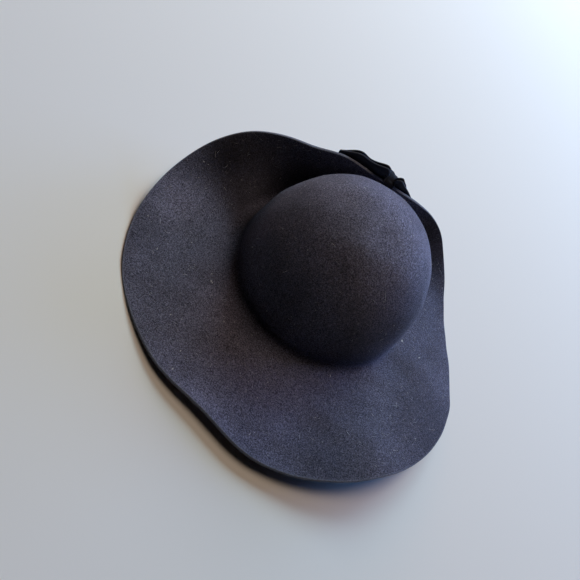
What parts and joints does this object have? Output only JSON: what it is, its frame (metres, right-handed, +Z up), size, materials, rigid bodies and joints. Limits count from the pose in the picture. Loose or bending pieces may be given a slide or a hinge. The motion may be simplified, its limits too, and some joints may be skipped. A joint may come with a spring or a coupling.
{
  "type": "wide-brim wool felt hat",
  "caption": "Soft wool felt hat with a round crown and a wide brim, nearly flat in front and turned up behind, where a velvet ribbon bow is tied over the brim's edge.",
  "frame": {"origin": "middle of the hat's outline seen from above, on the floor it stands on", "axes": "+Z up from the floor; -Y towards the wide front of the brim; +Y towards the turned-up side with the bow"},
  "size_m": [0.352, 0.3386, 0.1241],
  "materials": {
    "wool_felt": "very dark grey-navy wool felt, matt, with a short nap and specks of lighter fibre",
    "velvet_ribbon": "black velvet ribbon, with a faint sheen along its folds"
  },
  "bodies": {
    "root": {"felt_body": "wool_felt", "bow_loop_left": "velvet_ribbon", "bow_loop_right": "velvet_ribbon", "bow_knot": "velvet_ribbon"}
  },
  "joints": []
}
